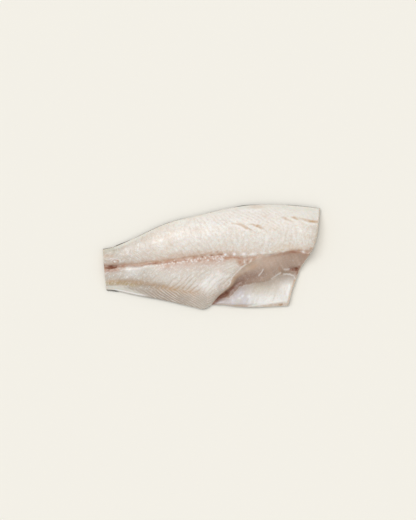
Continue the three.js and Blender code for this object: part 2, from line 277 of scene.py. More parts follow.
def tailMuscleTop(x, t, toRidge):
    # the section of the tail muscle, less the crease at the flakes' apex and the rounding at the vent
    apex, lip = relief["crease"], section["lip"]
    body = muscleSection(x, t, section["tailCrest"], section["bellyRim"])
    crease = apex["depth"] * hump(t, apex["at"], apex["spread"]) * smooth(x / apex["fullFrom"])
    return body - crease - lip["drop"] * fall(toRidge, 0, lip["width"]) * smooth(t / lip["fullAt"])


def wallShare(plan):
    # how far down the opened belly: 0 on the spine line, creaseAt on the crease, 1 on the flap's edge
    x, y, creaseAt = plan[..., 0], plan[..., 1], section["wall"]["creaseAt"]
    spineY, foldY, edgeY = (lineAt(x, outline[name]) for name in ("spine", "fold", "flap"))
    above = creaseAt * (spineY - y) / (spineY - foldY)
    below = lerp(creaseAt, 1, (foldY - y) / (foldY - edgeY))
    return np.clip(np.where(y > foldY, above, below), 0, 1)


def bellyWallTop(plan, t, pastRidge):
    # down from the spine to the crease, up over the flap to its rim, and off the edge,
    # or the slope from the vent ridge where that is higher
    wall, ledge, slope = section["wall"], section["ledge"], section["slope"]
    x, share, creaseAt, rimAt = plan[..., 0], wallShare(plan), wall["creaseAt"], wall["rimAt"]
    toCrease = np.clip(share / creaseAt, 0, 1)
    step = ledge["drop"] * (1 - bell(share / ledge["spread"])) * (1 - toCrease)
    inner = lerp(growth(section["spine"], x), wall["crease"], 1 - (1 - toCrease) ** wall["downBy"]) - step
    over = lerp(wall["crease"], wall["rim"], rise(share, creaseAt, rimAt - creaseAt))
    off = np.clip((share - rimAt) / (1 - rimAt), 0, 1) ** wall["offBy"]
    outer = np.where(share < rimAt, over, lerp(wall["rim"], wall["edge"], off))
    sheet = np.where(share < creaseAt, inner, outer)
    width = np.interp(t, [0, 0.5, 1], [slope["spine"], slope["middle"], slope["vent"]])
    lip = tailMuscleTop(curves["ridge"](t)[..., 0], t, 0 * t)
    return np.maximum(sheet, lerp(sheet, lip, (1 - np.clip(pastRidge / width, 0, 1)) ** slope["fall"]))


def cutSide():
    # rows run from the back edge to the spine line and on to the belly edge, columns from tail to head
    toVent, pastVent, backRows = mesh["toVent"], mesh["pastVent"], mesh["backRows"]
    column = np.arange(toVent + pastVent + 1)[:, None]
    row = np.arange(backRows + mesh["bellyRows"] + 1)[None, :]
    side = np.where(row <= backRows, 1, -1) + 0 * column
    step = np.where(side > 0, (backRows - row) / backRows, (row - backRows) / mesh["bellyRows"])
    t = lerp(step, 0.5 - 0.5 * np.cos(math.pi * step), mesh["rowBunch"])
    past = column + 0 * row > toVent
    s = np.where(past, np.clip((column - toVent) / pastVent, 0, 1) ** mesh["columnBunch"], column / toVent)
    share = np.where(past, lerp(ventShare, 1, s), ventShare * s)
    back, tail, wall = side > 0, (side < 0) & ~past, (side < 0) & past

    even = lerp(share, column / (toVent + pastVent), smooth(t / mesh["evenFrom"]))
    spineAt = curves["spine"](np.where(back, even, share))
    plan = np.where(back[..., None], backPatch(even, t),
                    np.where(tail[..., None], tailPatch(s, t), wallPatch(s, t)))
    x, y = plan[..., 0], plan[..., 1]
    toRidge = planDistance(plan, curves["ridge"](t))

    bellySide = np.where(tail, tailMuscleTop(x, t, toRidge), bellyWallTop(plan, t, toRidge))
    top = np.where(back, muscleSection(x, t, section["backCrest"], section["backRim"]), bellySide)
    curl = section["curl"]
    toFlap = lerp(growth(curl, x), curl["flap"], rise(s, curl["flapFrom"], 1 - curl["flapFrom"]))
    turn = np.where(back, growth(curl, x), np.where(tail, toFlap, curl["flap"]))
    under = turn * np.clip((t - curl["from"]) / (1 - curl["from"]), 0, 1) ** 2
    return SimpleNamespace(
        plan=plan, x=x, y=y, t=t, s=s, top=top, under=under, back=back, tail=tail, wall=wall,
        offset=side * planDistance(plan, spineAt), beside=y - np.interp(x, *curves["spine"](fineShare).T),
        toRidge=toRidge, share=wallShare(plan), belowFold=lineAt(x, outline["fold"]) - y,
        fromRidge=np.minimum.reduce([distance for _, _, distance in runsOf(plan, outline["ridge"])]),
        low=tail & (t > relief["flakesTail"]["apex"]),  # the belly past the apex, where its flakes are narrow
        ribs=softNoise(x + 0.5 * y, 0.18 * y, 2.8, 41))  # the slanting threads of the opened belly's wall


def beadField(g, kind):
    # a row of small rounded stubs beside the spine line, where the pin bones were cut
    size = bones[kind]
    places = size.get("stubs")
    if not places:
        jitter = np.random.default_rng(size["seed"]).uniform(-1, 1, (size["count"], 3))
        along = size["first"] + size["pitch"] * (np.arange(size["count"]) + 0.5 * jitter[:, 0])
        places = zip(along, lineAt(along, size["offset"]) + lineAt(along, size["sway"]) * jitter[:, 1],
                     size["length"] * (1 + 0.4 * jitter[:, 2]), size["shows"] * (0.7 - 0.3 * jitter[:, 2]))
    return np.maximum.reduce([shows * bell(np.hypot((g.x - atX) / length, (g.beside - atY) / size["width"]))
                              for atX, atY, length, shows in places])


def flakePlace(g):
    # mm along the fillet at which a flake's edge would meet the spine line: chevrons, leaning to the tail
    # from the spine to their apex and turning there; on the opened belly the wall's own slanting threads
    place, away = g.x - 0.6 * g.y, np.abs(g.offset)
    for here, size in ((g.back, relief["flakesBack"]), (g.tail, relief["flakesTail"])):
        apex = size["apex"] * away / np.maximum(g.t, 0.04)
        lean, turn = np.interp(g.x, size["at"], size["lean"]), np.interp(g.x, size["at"], size["turn"])
        place = np.where(here, g.x + lean * np.minimum(away, apex) + turn * np.maximum(away - apex, 0), place)
    return place


def flakeWave(g):
    # how near the edge between two flakes, and how far across the flake, from its place made uneven
    x, y, t, low, belly = g.x, g.y, g.t, g.low, relief["flakesTail"]
    pitch = np.where(g.back, relief["flakesBack"]["pitch"], np.where(low, belly["lowPitch"], belly["pitch"]))
    uneven = g.place / pitch + np.where(low, 0.35, 0.45) * softNoise(x, y, 19, 21)
    uneven += 0.15 * softNoise(x, y, 6, 22) + 0.2 * low * softNoise(x, y, 9, 25)
    across = uneven - np.floor(uneven)
    edge = bell(np.minimum(across, 1 - across) / np.where(low, 0.26, 0.2))
    fade = np.where(low, 1, fall(t, *relief["fade"]))
    muscle = np.where(g.wall, 0, fade * smooth(np.abs(g.offset) / relief["clearOfSpine"]))
    patchy = np.clip(0.5 + 0.9 * softNoise(x, y, 17, 23) + 0.4 * softNoise(x, y, 5, 24), 0, 1)
    back = np.interp(x, [0, 40, 150, 250, 385], [0.3, 0.5, 0.4, 0.26, 0.18])  # the thick loin is smoother
    tail = np.interp(x, [0, 45, 90, 200], [0.2, 0.4, 0.9, 1]) * np.interp(t, [0.1, 0.4, 0.56], [0.15, 0.4, 1])
    stripes = np.interp(x, [20, 40, 80, 120, 170], [0.1, 0.4, 0.8, 1.35, 1.4])
    patchy = np.where(low, 0.25 + 0.75 * patchy, patchy)
    shows = muscle * patchy * np.where(g.back, back, np.where(low, stripes, tail))
    return np.clip(edge * shows, 0, 1), (across - 0.5) * shows


def rough(g, size, seed):
    # the plan shaken by soft noise, so that what is placed by it has a cut or torn outline
    shake = [softNoise(g.x, g.y, 9, seed + k) + 0.45 * softNoise(g.x, g.y, 3.2, seed + 4 + k) for k in (0, 1)]
    return g.plan + size * np.stack(shake, -1)


def spinePlace(x):
    # how far beside the spine line its darkest line runs
    return lineAt(x, [(0, 0.2), (20, -1), (40, -2.6), (60, -3.8), (107, -4.3), (132, -3.8), (157, -2.9),
                      (180, -3), (215, -2.2), (227, -3.6), (236, -6.4), (250, -8), (264, -6), (290, -4.8),
                      (324, -4.2), (338, -0.6), (356, 2), (368, 7)])


def addRelief(g):
    # the smooth top with each detail's height or depth times how near it is, and soft lumps all over
    x, y, wall = g.x, g.y, g.wall
    torn = rough(g, 1.1, 81)
    top = g.top - relief["groove"] * g.edge + relief["shingle"] * g.across
    groove, pit, ridge, swell = (relief[key] for key in ("spineGroove", "pit", "highlightRidge", "swell"))
    wander = g.beside + 0.8 * softNoise(x, 0 * x, 9, 31)
    deep = np.where(wall, groove["onWall"], 1) * growth(groove, x)
    top -= deep * hump(wander, 0.7 * spinePlace(x), groove["width"])
    top -= pit["depth"] * nearLine(torn, pit["line"], pit["width"], 0.4)
    inRidge = rise(x, ridge["from"], 10) * fall(x, ridge["to"] - 20, 20)
    top += ridge["height"] * inRidge * hump(wander, ridge["offset"], ridge["width"])
    for kind in bones:
        top += bones[kind]["height"] * beadField(g, kind)
    top += relief["bulge"]["height"] * nearLine(torn, relief["bulge"]["line"], relief["bulge"]["width"])
    top += swell["height"] * nearLine(g.plan, swell["line"], swell["width"])
    for hollow in ("pocket", "tear", "notch", "notchEnd"):
        size = relief[hollow]
        top -= wall * size["depth"] * nearLine(torn, size["line"], size["width"])
    for seam in relief["seams"]:
        top -= relief["seam"]["depth"] * nearLine(torn, seam, relief["seam"]["width"], 0.7)
    for fold in relief["folds"]:
        top += wall * relief["fold"]["height"] * nearLine(torn, fold, relief["fold"]["width"], 0.6)
    for size, height, seed in relief["lumps"]:
        top += height * fall(g.t, 0.9, 0.1) * softNoise(x, y * 1.3, size, seed)
    return top + relief["ribs"] * wall * g.ribs * rise(g.share, 0, 0.1) * fall(g.share, 0.4, 0.1)


grid = cutSide()
grid.place = flakePlace(grid)
grid.edge, grid.across = flakeWave(grid)
grid.top = addRelief(grid)
print("cut side worked out,", grid.x.size, "points, highest", round(float(grid.top.max()), 1), "mm")


# closed shells from a fine sheet and a coarse one behind it
planShift = Vector((fleshLow.x * 1000, fleshLow.y * 1000 - min(p[1] for p in outline["flap"])))


def ringOf(sheet):
    # a sheet's edge once round: back edge, head cut, belly edge, tail cut
    return np.concatenate([sheet[:-1, 0], sheet[-1, :-1], sheet[:0:-1, -1], sheet[0, :0:-1]])


def quadsOf(sheet):
    # one quad for each cell of a sheet of point numbers
    return np.stack([sheet[:-1, :-1], sheet[:-1, 1:], sheet[1:, 1:], sheet[1:, :-1]], -1).reshape(-1, 4)


def fanOf(fine, coarse, step):
    # joins an edge with every row to one with every tenth: a fan in each coarse cell
    cells = np.arange(len(coarse) - 1)
    around = (cells[:, None] * step + np.arange(step)).ravel()
    fans = np.stack([fine[around], fine[around + 1], np.repeat(coarse[:-1], step)], -1)
    closing = np.stack([fine[cells * step + step], coarse[1:], coarse[:-1]], -1)
    return np.vstack([fans, closing])


def closedShell(front, behind, size):
    # front is the fine sheet; behind is joined to its ring through levels that stand out by swell
    count, levels, coarse = front.shape[0] * front.shape[1], size["levels"], mesh["coarse"]
    numbers = np.arange(count).reshape(front.shape[:2])
    edge = ringOf(numbers)
    start, end = ringOf(front), ringOf(behind)
    outward = np.roll(start, -1, 0) - np.roll(start, 1, 0)
    outward = np.stack([-outward[:, 1], outward[:, 0], 0 * outward[:, 0]], -1)
    outward /= np.maximum(np.linalg.norm(outward, axis=1, keepdims=True), 1e-9)
    down = np.linspace(0, 1, levels + 1)[1:, None, None]
    walls = lerp(start, end, down) + outward * size["swell"] * np.sin(math.pi * down)
    wallNumbers = np.vstack([edge, count + np.arange(levels * len(edge)).reshape(levels, -1)])
    wallFaces = quadsOf(np.hstack([wallNumbers, wallNumbers[:, :1]]))

    back = np.full(front.shape[:2], -1)
    back.ravel()[edge] = wallNumbers[-1]
    rows = np.arange(0, front.shape[1], coarse)
    inner = behind[1:-1, rows[1:-1]]
    firstInner = count + levels * len(edge)
    back[1:-1, rows[1:-1]] = firstInner + np.arange(inner.shape[0] * inner.shape[1]).reshape(inner.shape[:2])
    quads = np.vstack([quadsOf(numbers), wallFaces, quadsOf(back[1:-1][:, rows])[:, ::-1]])
    tailFan = fanOf(back[0], back[1, rows], coarse)[:, ::-1]
    headFan = fanOf(back[-1], back[-2, rows], coarse)
    points = np.vstack([front.reshape(-1, 3), walls.reshape(-1, 3), inner.reshape(-1, 3)])
    return points, quads, np.vstack([tailFan, headFan]), walls


def newObject(name, data):
    made = bpy.data.objects.new(name, data)
    bpy.context.scene.collection.objects.link(made)
    return made


def toMesh(name, points, quads, triangles, attributes, flip=False):
    # points moved into the frame and scaled to metres, with one value or colour for each point
    data = bpy.data.meshes.new(name)
    shift = np.array([planShift.x, planShift.y, 0])
    faces = [f[:, ::-1] if flip else f for f in (quads, triangles)]
    data.vertices.add(len(points))
    data.vertices.foreach_set("co", ((points + shift) * 0.001).astype(np.float32).ravel())
    data.loops.add(sum(f.size for f in faces))
    data.loops.foreach_set("vertex_index", np.concatenate([f.ravel() for f in faces]).astype(np.int32))
    sizes = np.concatenate([np.full(len(f), f.shape[1]) for f in faces])
    data.polygons.add(len(sizes))
    data.polygons.foreach_set("loop_start", np.insert(np.cumsum(sizes), 0, 0)[:-1].astype(np.int32))
    data.update(calc_edges=True)
    data.validate()
    data.shade_smooth()
    data.set_sharp_from_angle(angle=math.radians(mesh["sharpFrom"]))
    for key, value in attributes.items():
        kind, slot = ("FLOAT_COLOR", "color") if value.shape[1] == 4 else ("FLOAT_VECTOR", "vector")
        data.attributes.new(key, kind, "POINT").data.foreach_set(slot, value.astype(np.float32).ravel())
    return newObject(name, data)


# the flesh
def srgb(red, green, blue):
    # a screen colour's linear values, by the sRGB curve
    c = np.array([red, green, blue]) / 255
    return (*np.where(c <= 0.04045, c / 12.92, ((c + 0.055) / 1.055) ** 2.4), 1.0)


def srgbOf(colors):
    # a look from its screen colours
    return {name: srgb(*color) for name, color in colors.items()}


fleshLook = srgbOf({
    "cream": (234, 229, 221), "dullAndShade": (179, 170, 159), "blush": (223, 205, 190), "wall": (168, 144, 128),
    "wallDarkAndShade": (122, 84, 66), "wallPale": (203, 180, 163), "shade": (157, 137, 123),
    "lip": (238, 220, 197), "flap": (208, 199, 188), "violet": (208, 204, 210), "straw": (206, 200, 180),
    "pearlAndHighlight": (241, 240, 238), "paleAndHighlight": (246, 245, 243), "flakeEdge": (188, 166, 145),
    "haze": (182, 138, 112), "blood": (126, 62, 40), "fat": (194, 155, 113), "rim": (226, 224, 215),
    "stainAndShade": (126, 72, 45), "groove": (146, 130, 114), "pink": (204, 183, 171), "peach": (214, 183, 158),
    "mauve": (184, 161, 153), "olive": (196, 175, 128), "slope": (200, 168, 140), "crease": (132, 112, 88),
    "cut": (232, 225, 213), "sage": (190, 192, 172),
})
fleshWet = {"grain": 700.0, "dry": 0.5, "wet": 0.3, "bump": 0.4, "deep": 0.0005, "coat": 0.25,
            "coatRough": 0.22}
fleshMarks = {  # strength, then a line with its width and taper, or one spot with its length and width
    "blood": [(0.8, (207, 8.5), 2.4, 1.3), (0.6, (200.5, 13.5), 1.8, 1.1), (0.8, (190, 8), 2.8, 1.2),
              (0.7, (173, 6.8), 3, 1.1), (0.6, (202.5, 0.6), 2, 1.5), (0.5, (295, 2.5), 6, 1.3),
              (0.5, (7, -8), 4, 1.2), (0.4, (19, -8), 4, 1), (0.35, (252, -4), 2, 5)],
    "haze": [(0.85, [(2, -7), (12, -8.5), (25, -7.5)], 2.2), (0.4, (17, 10), 8, 2.4),
             (0.75, [(339, 4.5), (347, 4.5), (353, 3)], 3)],
    "wallHaze": [(0.35, [(216, -46), (225, -33), (236, -22), (244, -17)], 4),
                 (0.4, [(308, -17), (306.5, -22), (308, -27)], 1.6)],
    "fat": [(0.4, [(4, 18.5), (16, 18)], 2.4), (1.0, (273, 53.5), 4.5, 2.8),
            (1.2, [(305, -85.6), (311, -85.6)], 2.2)],
    # white strands at the tail, and painted highlights on wet lumps, the bulge, the swells, the vent ridge,
    # the flap and the loin
    "whiteAndHighlight": [(0.8, (20, 7.2), 2.4, 1.5), (0.5, [(14, 9), (20, 12.5), (28, 11), (31, 7)], 1.2),
              (0.5, [(3, 12), (14, 12.5), (30, 10)], 1.3, 0.5), (0.8, relief["bulge"]["line"], 2.6, 0.6),
              (0.28, relief["swell"]["line"], 7), (0.55, [(203, -33), (208, -31), (217, -28.5)], 1.7),
              (0.5, [(260, -2), (257, -6), (254.5, -9)], 1.4, 0.5),
              (0.5, [(249, -10.5), (240, -17.5), (233, -24), (228, -30)], 1.9, 0.4),
              (0.7, (251, -67.7), 2.6, 1.8), (0.7, (239.7, -66.2), 2.6, 1.8), (0.7, (234, -70), 2.6, 1.8),
              (0.5, [(246, -2), (247, -7), (247, -10)], 1.5, 0.7),
              (0.8, [(291.5, 42.5), (288, 32), (284, 20.5)], 2.8, 0.5),
              (0.4, [(316, -24), (320, -25), (325, -24)], 1.3)],
    # the pocket's dark is dried blood deepened as painted shade
    "wallStainAndShade": [(0.85, relief["pocket"]["line"], 3.8), (0.55, relief["notch"]["line"], 2.4),
                  (1.2, (339, -25.4), 3.8, 3.4), (0.7, (344, -22), 1.8, 2.6), (0.9, (331.5, -24.8), 2.6, 2.2),
                  (0.7, (340, -32), 1.6, 3), (0.45, (308.5, -85.2), 3, 1.5)],
}
cutFace = {
    "muscle": {"line": [(0, 0), (363, 2)], "wide": 9, "tall": 2.6},  # dark muscle just over the skin
    "arcs": {"back": {"tail": 17, "head": 37.4, "reach": 363}, "belly": -26, "height": 6, "tall": 1.9,
             "uneven": 1.6, "pitch": 6.5, "line": 0.14, "shows": 0.5},  # the flakes' edges, round a middle
    "haze": 0.8,  # how much the dark muscle shows in each mask, and what fat and rim the walls have
    "blood": 0.7,
    "stainAndShade": 0.3,
    "fat": 0.3,
    "rim": 0.35,
}


def fleshFront(g):
    # the cut faces lean: the top edge stands back from the bottom edge, most under the loin's crest
    lean, column = relief["headLean"], np.arange(g.x.shape[0])[:, None]
    atCrest = hump(g.t, lean["at"], lean["spread"])
    head = np.where(g.back, lerp(lean["least"], lean["most"], atCrest), lean["belly"])
    atHead = rise(column, len(column) - 1 - lean["columns"], lean["columns"])
    shift = relief["tailLean"] * fall(column, 0, lean["columns"]) - head * atHead
    return np.stack([g.x + shift, g.y, g.top], -1)


def wedgeShare(g):
    # 1 in the pinkish wedge between the spine line, the vent ridge and a line that opens towards the head
    x, offset = g.x, g.beside + 2.4 * softNoise(g.x, g.y, 6, 53)
    lowest = np.interp(x, [204, 216, 230, 245, 262], [-8, -12, -19, -27, -30])
    return rise(x, 204, 16) * fall(x, 262, 10) * rise(-offset, 2.2, 3) * rise(offset, lowest, 9)


def bloodZones(g):
    # the pinkish haze along the spine line, close in and wide, and the blood left in it
    x, y, plan = g.x, g.y, rough(g, 1.2, 51)
    away = g.beside + 1.0 * softNoise(x, 0 * x, 8, 55) + 0.8 * softNoise(x, y, 4.2, 56) - spinePlace(x)
    spotty = np.clip(0.6 + 1.1 * softNoise(x, y, 4.2, 59), 0, 1.3)
    line = np.interp(x, [0, 4, 28, 36, 50, 70, 90, 120, 200, 216, 250, 270, 300, 325, 345, 363],
                     [0.5, 0.7, 0.6, 0.35, 0.45, 0.6, 0.5, 0.24, 0.2, 0.25, 0.2, 0.05, 0.1, 0.3, 0.6, 0.4])
    wide = np.interp(x, [0, 30, 60, 120, 220, 330, 363], [2.4, 1.5, 1.3, 1.2, 1.6, 2.2, 2.4])
    blood = np.maximum(spotty * line * bell(away / wide), strongest(plan, fleshMarks["blood"]))

    near = 0.44 * bell(away / np.where(away > 0, np.interp(x, [60, 100], [2.6, 3.8]), 2.6))
    near *= np.interp(x, [0, 24, 60, 80, 225, 262, 284, 300, 325], [1, 0.6, 0.6, 1, 0.8, 0.1, 0.2, 0.5, 1])
    above = np.interp(x, [0, 40, 85, 115, 160, 185, 240, 262, 300, 330, 363],
                      [0.4, 0.4, 0.46, 0.42, 0.44, 0.5, 0.45, 0.16, 0.1, 0.22, 0.4])
    below = np.interp(x, [0, 20, 45, 70, 95, 110, 150, 215, 240, 265, 300, 363],
                      [0.8, 0.7, 0.4, 0.42, 0.46, 0.75, 0.8, 0.8, 0.5, 0.1, 0.14, 0.45])
    reach = np.where(away > 0, np.interp(x, [0, 60, 90, 130, 190, 215, 300], [6, 8, 10, 9, 9, 9, 5]),
                     np.interp(x, [0, 30, 60, 84, 95, 110, 200, 240, 300], [10, 6, 3, 4, 7, 8.5, 9.5, 8, 10]))
    patchy = 0.85 + 0.5 * softNoise(x, y, 7, 57)
    blotch = np.clip(0.9 + 0.45 * softNoise(x, y, 7, 58) + 0.2 * softNoise(2 * x, y, 6, 54), 0, 1.1)
    haze = np.maximum.reduce([patchy * (near + np.where(away > 0, above, below) * bell(away / reach)),
                              0.74 * blotch * wedgeShare(g) * np.where(g.wall, 0.25, 1),
                              g.wall * strongest(plan, fleshMarks["wallHaze"]),
                              strongest(plan, fleshMarks["haze"])])
    haze *= 1 - 0.75 * nearLine(plan, [(250, -9), (240, -17.5), (233, -24)], 2.6)  # the ridge stays clear
    ring = np.hypot((x - 21.5) / 4.6, (y - 7.6) / 3)  # round the cut stub at the tail
    pit = 0.9 * nearLine(plan, relief["pit"]["line"], 4.6, 0.3)
    haze = np.maximum.reduce([haze, pit, 0.6 * hump(ring, 1, 0.4)])
    return np.clip(haze, 0, 1), np.clip(blood, 0, 1)


def fatZones(g):
    # tan fat along the flakes' apex, in the seams and on the flap's border, pale fat under the back edge
    x, y, t, back, wall, plan = g.x, g.y, g.t, g.back, g.wall, rough(g, 1.0, 61)
    uneven = 0.85 + 0.4 * softNoise(x, y, 8, 65)
    higher = np.interp(x, [0, 21, 49, 63, 77, 91, 140], [0.13, 0.13, 0.14, 0.12, 0.09, 0.05, 0.01])
    apexT = relief["flakesTail"]["apex"] - higher + 0.014 * softNoise(x, 0 * x, 14, 66)
    run = rise(x, 2, 6) * (1 - 0.8 * rise(x, 135, 45)) * g.tail * (0.75 + 0.6 * g.edge)
    line = np.interp(x, [20, 50, 110, 140, 215, 240, 272, 290, 315, 350],
                     [0.2, 0.6, 0.75, 0.55, 0.45, 0.2, 0, 0.2, 0.25, 0.5])
    border = np.interp(x, [190, 240, 256, 285, 300, 320], [0.5, 0.55, 0.3, 0.4, 0.5, 0.5])
    seams = [strength * uneven * nearLine(plan, seam, relief["seam"]["width"], 0.7)
             for seam, strength in zip(relief["seams"], relief["seam"]["fat"])]
    fat = np.maximum.reduce([
        run * uneven * (0.42 * hump(t, apexT, 0.065) + 0.26 * hump(t, apexT, 0.13)),
        line * uneven * hump(g.beside, spinePlace(x) + 2.4, 2.4), 0.3 * uneven * wedgeShare(g),
        0.3 * back * hump(x, 272, 12) * rise(t, 0.9, 0.06),
        0.14 * np.clip(softNoise(x, 2.2 * y, 17, 67), 0, 1) * back * rise(x, 60, 50),
        border * wall * rise(g.share, 0.93, 0.04),
        0.6 * wall * rise(g.s, 0.97, 0.02) * rise(g.share, 0.5, 0.1),
        strongest(plan, fleshMarks["fat"]), *seams])
    rimFrom = np.interp(x, [0, 40, 90, 150, 230, 300], [0.8, 0.84, 0.91, 0.94, 0.9, 0.86])
    bellyRim = np.interp(x, [50, 75, 160, 180], [0.8, 0.1, 0.1, 0.5])
    rim = rise(t, rimFrom, 0.07) * np.where(back, uneven, bellyRim) * ~wall
    rim = np.maximum(rim, 0.45 * back * rise(x, 290, 60) * rise(y, 54, 9))
    rim *= np.where(back, lerp(0.3, 1, rise(x, 14, 16)) * (1 - 0.5 * hump(x, 280, 50)), 1)
    return np.clip(fat, 0, 1), np.clip(rim, 0, 1)


def whiteAndHighlightZone(g):
    # bone stubs and white flecks, and painted highlights on ridges, swells, folds, under the seams and on the
    # flap's edges
    x, y, wall, plan = g.x, g.y, g.wall, rough(g, 0.9, 71)
    fleck = np.clip(1.6 * softNoise(x, y, 2.9, 76) - 0.25, 0, 1) * rise(x, 112, 20) * fall(x, 204, 8)
    ring = np.hypot((x - 202.5) / 6.5, (y - 1) / 5)  # a cut vessel beside the spine line
    broken = np.clip(0.55 + 1.3 * softNoise(x, y, 2.7, 77), 0, 1)
    ridge = relief["highlightRidge"]
    middle = np.interp(x, [20, 40, 60, 80], [-6.5, -7.5, -9.5, -7.5]) - 1.4 * softNoise(x, y, 7, 75)
    clumps = np.clip(0.75 + 0.7 * softNoise(x, y, 5, 79), 0, 1.2) * hump(
        g.beside, middle, np.interp(x, [20, 34, 60, 80], [2.4, 4.8, 5, 2.4]))
    streaks = np.clip(0.6 + softNoise(x, 0.4 * y, 3, 78), 0, 1)
    under = [[(px - 1.5, py - 4) for px, py in seam] for seam in relief["seams"]]
    whiteAndHighlight = np.maximum.reduce([
        1.4 * beadField(g, "large"), beadField(g, "small"), 0.75 * fleck * hump(g.beside, -5, 4),
        0.6 * broken * hump(ring, 1, 0.34),
        0.42 * clumps * rise(x, ridge["from"], 12) * fall(x, ridge["to"] - 16, 16),
        np.interp(x, [12, 22, 62, 78], [0, 0.9, 0.8, 0]) * g.tail * rise(g.t, 0.94, 0.03),
        wall * nearLine(g.plan, [(250, -85), (278, -82), (316, -78.5)], 1.9, 0.3),
        0.85 * streaks * wall * hump(g.s, 0.95, 0.024) * rise(g.belowFold, 8, 10),
        strongest(plan, fleshMarks["whiteAndHighlight"]),
        wall * strongest(plan, [(0.5, fold, 1.1) for fold in relief["folds"]]),
        strongest(plan, [(0.6, line, 1.9, 0.8) for line in under])])
    return np.clip(whiteAndHighlight, 0, 1)


def stainAndShadeZone(g):
    # dark red brown where blood has dried: in the tail pit, the pocket, the tear and the notch, deepened as
    # painted shade in the pit and the pocket
    plan = rough(g, 1.0, 91)
    torn = np.clip(0.45 + softNoise(g.x, g.y, 3.4, 92), 0.1, 0.8)
    stainAndShade = np.maximum.reduce([0.95 * nearLine(plan, relief["pit"]["line"], 2.7, 0.25),
                               torn * g.wall * nearLine(plan, relief["tear"]["line"], 3, 0.4),
                               g.wall * strongest(plan, fleshMarks["wallStainAndShade"])])
    return np.clip(1.15 * stainAndShade, 0, 1)


